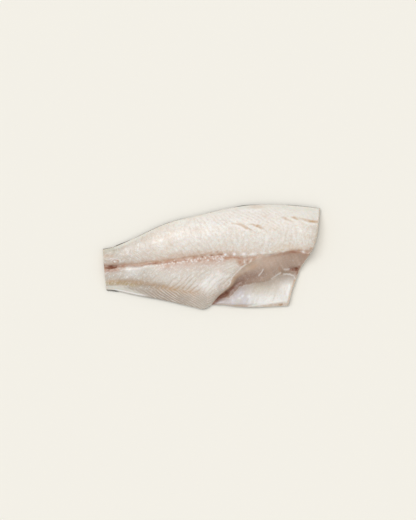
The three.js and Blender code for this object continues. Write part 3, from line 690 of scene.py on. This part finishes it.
def groundTones(g):
    # the broad tones of the cut side, each laid over the last where its mask says
    x, y, t, tail, back, wall, beside = g.x, g.y, g.t, g.tail, g.back, g.wall, g.beside
    tone = np.tile(np.array(fleshLook["cream"]), (*x.shape, 1))
    slow = softNoise(x, y, 26, 96)

    def lay(name, mask):
        tone[:] = lerp(tone, np.array(fleshLook[name]), np.clip(mask, 0, 1)[..., None])

    def torn(size, seed, *mark):
        return strongest(rough(g, size, seed), [(1, *mark)])

    # both muscles: duller to the tail, duller with painted shade to the belly's rim and the head end, painted
    # light to the back edge, pink beside the spine line
    dullnessAndShade = np.interp(t, [0, 0.25, 0.6, 0.72, 0.84, 1], [0.3, 0.34, 0.38, 0.58, 0.95, 1])
    lay("dullAndShade", tail * (dullnessAndShade + 0.1 * slow))
    lay("dullAndShade", 0.2 * tail * rise(t, 0.62, 0.2) * rise(x, 140, 30))
    lay("dullAndShade", (0.66 * back + 0.45 * tail) * fall(x, 8, 60))
    lay("straw", 0.8 * back * fall(x, 14, 26) * rise(y, 17, 6))
    lay("dullAndShade", 0.9 * back * fall(x, 10, 30) * rise(y, 13, 6))
    lay("sage", 0.75 * back * fall(x, 12, 20) * rise(y, 20, 3))
    lay("crease", 0.5 * back * torn(1.2, 102, [(3, 18.5), (10, 19), (16, 18.5)], 2.8))
    # painted shade at the head cut's edge
    lay("dullAndShade", 0.42 * back * rise(x, 350, 28))
    lay("blush", 0.3 * back * fall(t, 0, 0.3))
    lay("blush", back * (0.12 + 0.3 * slow) * fall(x, 150, 50))
    # a painted highlight on the loin, and painted light towards the back edge
    lay("paleAndHighlight", 0.45 * back * hump(x, 165, 30) * hump(y, 37, 11))
    lay("paleAndHighlight", 0.55 * back * rise(t, 0.58, 0.24) * rise(x, 110, 50))
    lay("dullAndShade", 0.25 * back * rise(t, 0.92, 0.05) * hump(x, 280, 60))
    besidePink = rise(x, 86, 24) * fall(x, 200, 26) * hump(beside, -9, 13)
    lay("pink", 0.95 * tail * besidePink * (1 + 0.3 * softNoise(x, y, 9, 94)))
    glow = np.interp(x, [70, 95, 150, 215, 240, 262, 290, 340], [0, 0.3, 0.4, 0.62, 0.45, 0.12, 0.1, 0.15])
    lay("peach", glow * back * bell(beside / 9) * (1 + 0.3 * softNoise(x, y, 11, 93)))
    lay("mauve", 0.9 * tail * fall(x, 26, 12) * hump(beside, -8.5, 3.6))
    lay("wallPale", 0.5 * tail * fall(t, 0, 0.3) * fall(g.toRidge, 4, 18))
    lay("wallPale", 0.5 * tail * fall(g.fromRidge, 1, 12) * rise(t, 0.2, 0.15) * fall(t, 0.62, 0.2))
    lay("pink", 0.55 * tail * torn(1.4, 104, [(206, -18), (206, -32), (203, -46)], 6))
    lay("dullAndShade", 0.4 * tail * hump(x, 52, 30) * rise(t, 0.42, 0.2))
    lay("wallPale", 0.8 * tail * fall(g.fromRidge, 2, 5) * fall(t, 0.16, 0.14))

    # the opened belly: brown membrane with paler threads above the crease, pearly lining on the flap, painted
    # shade under the fold and in the crease, the slope under the ridge painted lighter
    share, belowFold = (g.share + 0.018 * softNoise(x, y, 7, 95),
                        g.belowFold + 1.2 * softNoise(x + 0.6 * y, 0.3 * y, 5, 97))
    below = rise(belowFold, np.interp(x, [236, 262, 293, 307], [4.5, 3.5, 1.5, 0.5]), 3.5)
    inWall, onFlap = wall * (1 - below), wall * below
    lay("wall", inWall)
    lay("wallPale", inWall * np.interp(x, [240, 290, 312, 326], [1, 0.9, 0.45, 0.1]) * fall(share, 0.1, 0.3))
    # painted shade down the wall towards the vent ridge's foot
    lay("wallDarkAndShade", 0.5 * inWall * rise(share, 0.2, 0.24) * fall(x, 236, 46))
    lay("wallPale", 0.3 * inWall * g.ribs)
    lay("wallDarkAndShade", -0.12 * inWall * g.ribs)
    lay("flap", onFlap)
    lay("straw", 0.8 * onFlap * hump(x, 264, 26) * hump(belowFold, 14, 11))
    lay("violet", 0.9 * onFlap * fall(x + 0.4 * y, 214, 34))
    # pearly lining on the flap, brighter away from the fold as painted light
    lay("pearlAndHighlight", 0.95 * onFlap * rise(x, 236, 40) * rise(belowFold, 8, 22) * (0.9 + 0.3 * slow))
    lay("pearlAndHighlight", 0.25 * onFlap * rise(x, 300, 16))
    shine = softNoise(x - 0.4 * y, 0.24 * y, 3.6, 103)
    # painted highlights where the wet flap shines
    lay("paleAndHighlight", 0.35 * onFlap * rise(shine, 0.1, 0.5) * rise(x, 222, 30) * rise(belowFold, 14, 12))
    lay("straw", 0.4 * onFlap * rise(-shine, 0.1, 0.5) * rise(belowFold, 8, 12))
    lay("flap", 0.4 * onFlap * hump(x, 284, 32) * hump(y, -62, 9))
    shadeWidth = np.interp(x, [225, 245, 310, 330], [18, 24, 26, 22])
    lay("shade", np.interp(x, [228, 252], [0.9, 0.7]) * onFlap * fall(belowFold, 1, shadeWidth))
    # painted shade along the crease between wall and flap
    lay("crease", 0.5 * wall * torn(1.2, 100, [(249, -43), (263, -44.5), (288, -41), (307, -34)], 2, 0.4))
    lay("crease", 0.7 * wall * torn(1.2, 100, [(308, -27), (320, -30), (334, -30)], 2, 0.4))
    loinEdge = np.interp(x, [250, 262, 290, 312, 332], [-2, -5.4, -5, -2, 0.5])
    lay("cream", 0.85 * wall * rise(beside, loinEdge - 1.2, 2.4))
    lay("lip", 0.45 * hump(beside, 5, 6) * rise(x, 286, 14) * fall(x, 340, 14))
    # painted shade by the crease near the notch
    lay("crease", 0.4 * wall * torn(1.6, 105, (319, -31), 9, 5))
    lay("crease", 0.3 * wall * torn(1.6, 105, (307, -32), 9, 8))
    lay("flap", 0.55 * wall * torn(1.6, 107, (302, -56), 8, 9))
    # darker wall along the tear, the fold's foot and the notch, partly painted shadow
    lay("wallDarkAndShade", 0.6 * wall * torn(1.4, 98, [(213, -59), (218, -53.5), (226, -47.5), (241, -39)], 4))
    lay("wallDarkAndShade", 0.3 * wall * torn(1.4, 98, [(217, -57), (225, -53), (234, -49)], 5))
    lay("wallDarkAndShade", 0.2 * wall * torn(1.4, 98, (332, -27), 15, 9))
    lay("wallDarkAndShade", 0.32 * wall * torn(1.2, 98, [(241, -38.5), (250, -34), (262, -33), (276, -29)], 6))
    reach = np.interp(y, [-79, -62, -56, -46, -36, -30, -15, 0], [1, 1, 2, 3.4, 4.8, 6, 8, 5])
    lay("slope", 0.95 * wall * fall(g.fromRidge, 0.6 * reach, 1.3 * reach))
    # painted light: the slope just under the vent ridge lightened
    lay("lip", 0.85 * wall * fall(g.fromRidge, 0.4, 0.8 * reach) * rise(-y, 8, 14))
    lay("blush", 0.8 * wall * fall(g.fromRidge, 4, 8) * rise(y, -34, 12))
    lay("slope", 0.4 * wall * nearSpot(g.plan, (221, -41), 4, 6))

    # the tail muscle's swells with painted highlights, its dull belly with painted shade at the rim and the
    # apex crease, the olive band, and its narrow low flakes painted lit and shaded
    # painted highlights on the swells and the white ridge
    lay("pearlAndHighlight", 0.75 * tail * nearLine(g.plan, relief["swell"]["line"], 8))
    lay("dullAndShade", 0.4 * tail * torn(1.4, 106, [(210, -22), (206, -34), (200, -52)], 5))
    lay("pearlAndHighlight", 0.5 * tail * nearLine(g.plan, [(174, -42), (156, -52)], 10))
    lay("pearlAndHighlight", 0.8 * tail * torn(2, 101, [(44, -11), (52, -12.5), (58, -13.5)], 8))
    lay("dullAndShade", (0.45 * tail + 0.3 * back) * fall(x, 60, 50))
    lay("dullAndShade", np.interp(x, [125, 150], [0.35, 0.1]) * tail * rise(t, 0.7, 0.15))
    lay("dullAndShade", 0.35 * tail * rise(t, 0.6, 0.15) * fall(x, 110, 30))
    atTail, bandY = tail * fall(x, 44, 24), np.interp(x, [0, 27, 48, 70], [-29.8, -30.4, -34.6, -37])
    lay("olive", 0.85 * atTail * hump(y, bandY, 3.6) * (0.95 + 0.5 * softNoise(x, y, 6, 99)))
    # painted shade along the band's crease
    lay("crease", 0.22 * atTail * hump(y, bandY, 2.6))
    lay("rim", 0.7 * atTail * rise(bandY - y, 3, 2.6) * fall(x, 30, 16))
    # painted shade towards the belly's rim
    lay("dullAndShade", np.interp(x, [125, 150], [0.7, 0.2]) * tail * rise(t, 0.78, 0.1) * rise(x, 26, 20))
    lay("shade", 0.6 * tail * rise(t, 0.84, 0.14) * rise(x, 40, 30) * fall(x, 132, 30))
    lay("flap", 0.35 * tail * hump(x, 160, 26) * rise(t, 0.66, 0.08))
    # painted shade in the apex crease over the band's tan
    apexT = relief["flakesTail"]["apex"] - np.interp(x, [21, 49, 77, 91, 120], [0.13, 0.14, 0.09, 0.05, 0.02])
    alongApex = rise(x, 16, 14) * fall(x, 96, 24) * np.interp(x, [40, 60, 90], [0.45, 0.55, 0.62])
    lay("crease", tail * alongApex * hump(t, apexT, 0.09))
    lay("shade", 0.55 * tail * hump(x, 108, 26) * rise(t, 0.76, 0.1))
    # painted shade in the narrow flakes' grooves and painted highlights on their rising sides
    lay("groove", 0.58 * g.low * g.edge)
    lay("paleAndHighlight", -0.7 * g.low * g.across)
    return tone


def cutMasks(walls, behind, onCut):
    # on the cut faces: the dark muscle over the skin, and arcs where the flakes are cut through
    x, y, z, muscle, arcs = walls[..., 0], walls[..., 1], walls[..., 2], cutFace["muscle"], cutFace["arcs"]
    spineY = lineAt(x, muscle["line"])
    dark = hump(y, spineY, muscle["wide"]) * bell((z - ringOf(behind)[:, 2]) / muscle["tall"]) * onCut
    middle = np.where(y > spineY, growth(arcs["back"], x), arcs["belly"])
    away = np.hypot(y - middle, arcs["tall"] * (z - arcs["height"]))
    turns = (away + arcs["uneven"] * softNoise(y, z, 9, 111)) / arcs["pitch"]
    across = turns - np.floor(turns)
    return dark, arcs["shows"] * onCut * bell(np.minimum(across, 1 - across) / arcs["line"])


def makeFlesh():
    # the cut side over a smooth underside, closed round the cuts and rims, with its masks as attributes
    g, front = grid, fleshFront(grid)
    behind = np.stack([g.x, g.y, g.under + section["skin"] + section["gap"]], -1)
    points, quads, triangles, walls = closedShell(front, behind, mesh)
    none = np.zeros(walls.shape[:2])
    rest = len(points) - g.x.size - none.size

    def spread(field, onWalls=None):
        onWalls = ringOf(field) + none if onWalls is None else onWalls
        return np.concatenate([field.ravel(), onWalls.ravel(), np.zeros(rest)])

    columns, rows = g.x.shape
    onCut = np.zeros(walls.shape[1])  # the ring's points on the head cut and the tail cut
    onCut[columns - 1:columns + rows - 2] = 1
    onCut[2 * columns + rows - 3:] = 1
    onCut = none + onCut
    fade = 1 - np.linspace(0, 1, walls.shape[0] + 1)[1:, None]
    dark, arcs = cutMasks(walls, behind, onCut)
    (haze, blood), (fat, rim), tone = bloodZones(g), fatZones(g), groundTones(g)
    masks = {
        "tissue": (spread(haze, np.maximum(cutFace["haze"] * dark, ringOf(haze) * fade)),
                   spread(blood, np.maximum(cutFace["blood"] * dark, ringOf(blood) * fade)),
                   spread(whiteAndHighlightZone(g), none)),
        "fats": (spread(fat, cutFace["fat"] + none), spread(rim, cutFace["rim"] * (1 - onCut)),
                 spread(stainAndShadeZone(g), cutFace["stainAndShade"] * dark)),
        # the flakes' second channel marks each flake's rising side, where painted highlight is laid
        "flakes": (spread(g.edge, arcs), spread(np.clip(-2 * g.across, 0, 1), none), spread(0 * g.x, onCut)),
    }
    attributes = {name: np.stack([*fields, np.ones(len(points))], -1) for name, fields in masks.items()}
    atRim = rise(g.t, 0.76, 0.1)
    mottle = np.where(g.back, (1 - 0.4 * atRim) * lerp(0.55, 1, rise(g.x, 10, 30)),
                      np.where(g.tail, 0.8 - 0.5 * atRim, 0.2))
    attributes["ground"] = np.stack([*(spread(tone[..., k]) for k in range(3)), spread(mottle)], -1)
    attributes["grain"] = 0.001 * np.stack([spread(g.place), spread(g.offset), points[:, 2]], -1)
    return toMesh("filletFlesh", points, quads, triangles, attributes)


# the skin
skinSize = {
    "proud": {  # how far it shows beyond the flesh, over x
        "back": [(0, 1.7), (12, 1.2), (18, 0.5), (26, 1.9), (44, 1.9), (54, 0.8), (128, 0.7), (140, 1.3),
                 (152, 0.6), (235, 0.6), (250, 1.4), (278, 1.2), (288, 0.5), (318, 0.5), (330, 1.5),
                 (386, 1.6)],
        "belly": [(0, 2.6), (18, 2.6), (26, 0.2), (70, 0.2), (80, 0.6), (158, 0.6), (168, 1.5), (184, 0.8)]},
    "flapProud": 0.4,
    "proudFrom": 0.9,
    "levels": 3,
    "swell": 0.15,
    "scale": {"long": 3.4, "wide": 2.7, "round": 2.2, "tilt": 0.1, "thick": 0.22, "edge": 0.7},
    "lateralLine": {"at": -3, "width": 1.6, "depth": 0.3},
}


def scaleRelief(x, y):
    # staggered rows of round scales, each tilted like a tile with its free edge towards the tail:
    # at a point the highest of the scales around it counts. Gives the height and nearness to an edge.
    size = skinSize["scale"]
    best, edge = np.full(x.shape, -1.0), np.zeros(x.shape)
    for i in (-1, 0, 1, 2):
        for j in (-1, 0, 1):
            row = np.round(y / size["wide"] * 2) + j
            centreX = (np.round(x / size["long"] - 0.5 * (row % 2)) + i + 0.5 * (row % 2)) * size["long"]
            centreY = row * size["wide"] / 2
            away = np.hypot(x - centreX, (y - centreY) * size["long"] / size["wide"] * 0.8)
            height = np.where(away < size["round"], size["tilt"] * (centreX - x) / size["long"], -1)
            higher = height > best
            best = np.where(higher, height, best)
            edge = np.where(higher, np.clip(1 - (size["round"] - away) / size["edge"], 0, 1), edge)
    return size["thick"] * np.clip(best / size["tilt"] + 0.5, 0, 1), edge


def makeSkin():
    # a thin sheet, plain above and with scales below, its edge a little proud of the flesh
    g, proud, line, thick = grid, skinSize["proud"], skinSize["lateralLine"], skinSize["scale"]["thick"]
    reach = np.where(g.wall, skinSize["flapProud"],
                     np.where(g.back, lineAt(g.x, proud["back"]), lineAt(g.x, proud["belly"])))
    reach = reach * rise(g.t, skinSize["proudFrom"], 1 - skinSize["proudFrom"])
    reach = reach * (0.75 + 0.45 * softNoise(g.x, 0 * g.x, 24, 61))
    y = g.y + np.where(g.back, reach, -reach)
    height, edge = scaleRelief(g.x, g.y)
    atLine = hump(g.offset, line["at"], line["width"])
    front = np.stack([g.x, y, g.under + (thick - height) + line["depth"] * atLine], -1)
    behind = np.stack([g.x, y, g.under + section["skin"]], -1)
    points, quads, triangles, _ = closedShell(front, behind, skinSize)
    shade = 0.5 + 0.5 * softNoise(g.x, g.y, 21, 62)
    scales = np.tile([0, 0, 0.5, 1], (len(points), 1))
    scales[:edge.size, :3] = np.stack([edge, atLine, shade], -1).reshape(-1, 3)
    return toMesh("filletSkin", points, quads, triangles, {"scales": scales}, flip=True)


# materials
def add(tree, kind, inputs=None, **settings):
    # a node with its settings, and its sockets filled from values or linked from other sockets
    made = tree.nodes.new(kind)
    for key, value in settings.items():
        setattr(made, key, value)
    for key, value in (inputs or {}).items():
        if isinstance(value, bpy.types.NodeSocket):
            tree.links.new(value, made.inputs[key])
        else:
            made.inputs[key].default_value = value
    return made


def mix(tree, factor, first, second):
    return add(tree, "ShaderNodeMix", {0: factor, 6: first, 7: second}, data_type="RGBA").outputs[2]


def maths(tree, operation, first, second=0.0, clamp=False):
    return add(tree, "ShaderNodeMath", {0: first, 1: second}, operation=operation, use_clamp=clamp).outputs[0]


def noise(tree, vector, scale, detail, roughness=0.5, distortion=0.0):
    return add(tree, "ShaderNodeTexNoise", {"Vector": vector, "Scale": scale, "Detail": detail,
                                            "Roughness": roughness, "Distortion": distortion}).outputs[0]


def spreadTo(tree, value, low, high, toLow=0.0, toHigh=1.0):
    return add(tree, "ShaderNodeMapRange", {"Value": value, "From Min": low, "From Max": high,
                                            "To Min": toLow, "To Max": toHigh}).outputs[0]


def objectPlace(tree):
    return add(tree, "ShaderNodeTexCoord").outputs["Object"]


def newGroup(name, inputs, outputs):
    group = bpy.data.node_groups.new(name, "ShaderNodeTree")
    for label, kind, value in inputs:
        socket = group.interface.new_socket(label, in_out="INPUT", socket_type="NodeSocket" + kind)
        if value is not None:
            socket.default_value = value
    for label, kind in outputs:
        group.interface.new_socket(label, in_out="OUTPUT", socket_type="NodeSocket" + kind)
    return group, add(group, "NodeGroupInput").outputs, add(group, "NodeGroupOutput").inputs


def makePatchyTint():
    # lays a tint over a colour where a mask says, with the mask broken up by soft noise
    group, given, out = newGroup("patchyTint", [
        ("Color", "Color", (1, 1, 1, 1)), ("Tint", "Color", (1, 0, 0, 1)), ("Mask", "Float", 0.0),
        ("Strength", "Float", 1.0), ("Patch Scale", "Float", 300.0), ("Patchiness", "Float", 0.4)],
        [("Color", "Color")])
    patch = noise(group, objectPlace(group), given["Patch Scale"], 3.0)
    swing = maths(group, "MULTIPLY", maths(group, "SUBTRACT", patch, 0.5), given["Patchiness"])
    around = maths(group, "ADD", maths(group, "MULTIPLY", swing, 3.0), 1.0)
    broken = maths(group, "MULTIPLY", given["Mask"], around)
    factor = maths(group, "MULTIPLY", broken, given["Strength"], clamp=True)
    group.links.new(mix(group, factor, given["Color"], given["Tint"]), out["Color"])
    return group


def makeWetGrain():
    # a fine bump with slow wet patches in the roughness
    group, given, out = newGroup("wetGrain", [
        ("Vector", "Vector", None), ("Fine Scale", "Float", 900.0), ("Dry", "Float", 0.5),
        ("Wet", "Float", 0.3)], [("Height", "Float"), ("Roughness", "Float")])
    group.links.new(noise(group, given["Vector"], given["Fine Scale"], 4.0, 0.6), out["Height"])
    wetness = spreadTo(group, noise(group, objectPlace(group), 70.0, 2.0), 0.4, 0.62)
    blend = add(group, "ShaderNodeMix", {0: wetness, 2: given["Dry"], 3: given["Wet"]}, data_type="FLOAT")
    group.links.new(blend.outputs[0], out["Roughness"])
    return group


patchyTint, wetGrain = makePatchyTint(), makeWetGrain()


def tinted(tree, color, look, *layers):
    # lays tints of a look over a colour, one after another
    for tint, mask, strength, scale, patchiness in layers:
        color = add(tree, "ShaderNodeGroup", {"Color": color, "Tint": look[tint], "Mask": mask,
                                              "Strength": strength, "Patch Scale": scale,
                                              "Patchiness": patchiness}, node_tree=patchyTint).outputs[0]
    return color


def attribute(tree, name):
    return add(tree, "ShaderNodeAttribute", attribute_name=name).outputs


def channels(tree, name):
    split = add(tree, "ShaderNodeSeparateColor", {"Color": attribute(tree, name)["Color"]}).outputs
    return split[0], split[1], split[2]


def newMaterial(name):
    made = bpy.data.materials.new(name)
    made.use_nodes = True
    made.node_tree.nodes.clear()
    shader = add(made.node_tree, "ShaderNodeBsdfPrincipled")
    add(made.node_tree, "ShaderNodeOutputMaterial", {"Surface": shader.outputs[0]})
    return made, made.node_tree, shader


def fillSockets(shader, values):
    for socket, value in values.items():
        shader.inputs[socket].default_value = value


def wetFinish(tree, shader, color, vector, size):
    # the colour, the wet grain as bump and roughness, and a thin clear coat
    grain = add(tree, "ShaderNodeGroup", {"Vector": vector, "Fine Scale": size["grain"], "Dry": size["dry"],
                                          "Wet": size["wet"]}, node_tree=wetGrain).outputs
    bump = add(tree, "ShaderNodeBump", {"Height": grain["Height"], "Strength": size["bump"],
                                        "Distance": size["deep"]}).outputs[0]
    for source, socket in ((color, "Base Color"), (grain["Roughness"], "Roughness"), (bump, "Normal")):
        tree.links.new(source, shader.inputs[socket])
    fillSockets(shader, {"Coat Weight": size["coat"], "Coat Roughness": size["coatRough"]})


def fleshMaterial():
    # the ground tones with streaks and specks, then a tint for each mask
    look = fleshLook
    made, tree, shader = newMaterial("moistFlesh")
    haze, blood, whiteAndHighlight = channels(tree, "tissue")
    fat, rim, stainAndShade = channels(tree, "fats")
    edge, step, cut = channels(tree, "flakes")
    ground = attribute(tree, "ground")

    def mottled(value, low, high, toHigh=1.0):
        return maths(tree, "MULTIPLY", spreadTo(tree, value, low, high, 0.0, toHigh), ground["Alpha"])

    threads = add(tree, "ShaderNodeMapping", {"Vector": attribute(tree, "grain")["Vector"],
                                              "Scale": (1.0, 0.4, 1.0)}).outputs[0]
    streak = noise(tree, threads, 300.0, 4.0, 0.65, 1.5)
    speck = noise(tree, objectPlace(tree), 230.0, 3.0, 0.7)
    color = mix(tree, spreadTo(tree, streak, 0.52, 0.3, 0.0, 0.3), ground["Color"], look["flakeEdge"])
    color = tinted(tree, color, look, ("paleAndHighlight", mottled(streak, 0.52, 0.7), 0.65, 140.0, 0.9))
    color = mix(tree, mottled(speck, 0.5, 0.32, 0.5), color, look["blush"])
    color = mix(tree, mottled(speck, 0.5, 0.68, 0.6), color, look["paleAndHighlight"])
    # the flakes' rising sides and the white mask carry painted highlights, the stain mask partly painted
    # shade
    color = tinted(
        tree, color, look, ("cut", cut, 0.9, 200.0, 0.2), ("flakeEdge", edge, 0.8, 200.0, 0.5),
        ("paleAndHighlight", step, 0.6, 200.0, 0.5), ("rim", rim, 0.85, 150.0, 0.3), ("fat", fat, 0.9, 260.0, 0.35),
        ("haze", haze, 1.0, 260.0, 0.45), ("blood", blood, 0.85, 320.0, 0.5),
        ("stainAndShade", stainAndShade, 0.9, 260.0, 0.3), ("paleAndHighlight", whiteAndHighlight, 0.95, 400.0, 0.3))
    wetFinish(tree, shader, color, threads, fleshWet)
    fillSockets(shader, {"Subsurface Weight": 0.2, "Subsurface Radius": (1.0, 0.6, 0.4),
                         "Subsurface Scale": 0.003})
    return made


skinLook = srgbOf({
    "ground": (74, 71, 64), "mottle": (46, 44, 41), "edge": (30, 29, 28), "line": (112, 106, 92),
})
skinWet = {"grain": 1400.0, "dry": 0.45, "wet": 0.28, "bump": 0.3, "deep": 0.0003, "coat": 0.3,
           "coatRough": 0.2}


def skinMaterial():
    # dark mottled ground with darker scale edges and a pale lateral line
    made, tree, shader = newMaterial("scaledSkin")
    edge, line, shade = channels(tree, "scales")
    color = tinted(tree, skinLook["ground"], skinLook, ("mottle", shade, 0.9, 50.0, 1.0),
                   ("edge", edge, 0.7, 500.0, 0.5), ("line", line, 0.5, 200.0, 0.6))
    wetFinish(tree, shader, color, objectPlace(tree), skinWet)
    return made


# pieces on the frame
for piece, node, material in ((makeFlesh(), "flesh", fleshMaterial()), (makeSkin(), "skin", skinMaterial())):
    piece.data.materials.append(material)
    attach(piece, "root")
    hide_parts(node)
    print(piece.name, "made with", len(piece.data.polygons), "faces")

# camera, floor and light
view = {
    "pixel": 1.75,  # mm of the object to a pixel of a picture that is 520 pixels tall
    "tall": 520,
    "turn": 3.456,  # degrees that the spine line rises to the right
    "lens": 85,
    "sensor": 36,  # along the picture's long side
    "clip": 20,
    "look": (183.2, 0.35, 14),  # the picture's centre, mm from the tail cut and the spine line
}
studio = {
    "floor": srgb(246, 244, 237),
    "floorReach": 4,
    "floorBelow": 0.0003,  # m under the fillet, so that no two faces share a plane
    "sky": srgb(255, 253, 249),
    "skyStrength": 0.62,
    "key": {"from": (-0.35, 0.5, 1.0), "soft": 34, "strength": 1.15},  # degrees that the soft lamp spans
    "fill": {"from": (0.9, -0.6, 1.0), "soft": 60, "strength": 0.2},
}


def makeCamera():
    # straight over the fillet, as far up as a pixel's size, the lens and the sensor say
    data = bpy.data.cameras.new("camera")
    data.lens = view["lens"]
    data.sensor_width = view["sensor"]
    data.clip_end = view["clip"]
    camera = newObject("camera", data)
    away = view["tall"] * view["pixel"] * 0.001 * view["lens"] / view["sensor"]
    x, y, z = view["look"]
    camera.location = Vector(((x + planShift.x) * 0.001, (y + planShift.y) * 0.001, z * 0.001 + away))
    camera.rotation_euler = (0, 0, -math.radians(view["turn"]))
    bpy.context.scene.camera = camera


def makeLamp(name):
    # a soft sun that shines from its place towards the origin
    size = studio[name]
    data = bpy.data.lights.new(name, "SUN")
    data.angle = math.radians(size["soft"])
    data.energy = size["strength"]
    lamp = newObject(name, data)
    lamp.location = size["from"]
    lamp.rotation_mode = "QUATERNION"
    lamp.rotation_quaternion = Vector(size["from"]).to_track_quat("Z", "Y")


def makeStudio():
    # a pale floor, an even sky and plain display of colours
    data, reach = bpy.data.meshes.new("floor"), studio["floorReach"]
    corners = [(x * reach, y * reach, -studio["floorBelow"]) for x, y in ((-1, -1), (1, -1), (1, 1), (-1, 1))]
    data.from_pydata(corners, [], [(0, 1, 2, 3)])
    made, _, shader = newMaterial("paleFloor")
    fillSockets(shader, {"Base Color": studio["floor"], "Roughness": 0.9, "Specular IOR Level": 0.1})
    data.materials.append(made)
    newObject("floor", data)
    world = bpy.data.worlds.new("studio")
    world.use_nodes = True
    fillSockets(world.node_tree.nodes["Background"], {"Color": studio["sky"],
                                                      "Strength": studio["skyStrength"]})
    bpy.context.scene.world = world
    bpy.context.scene.view_settings.view_transform = "Standard"


makeCamera()
makeLamp("key")
makeLamp("fill")
makeStudio()
print("camera, floor and light placed")
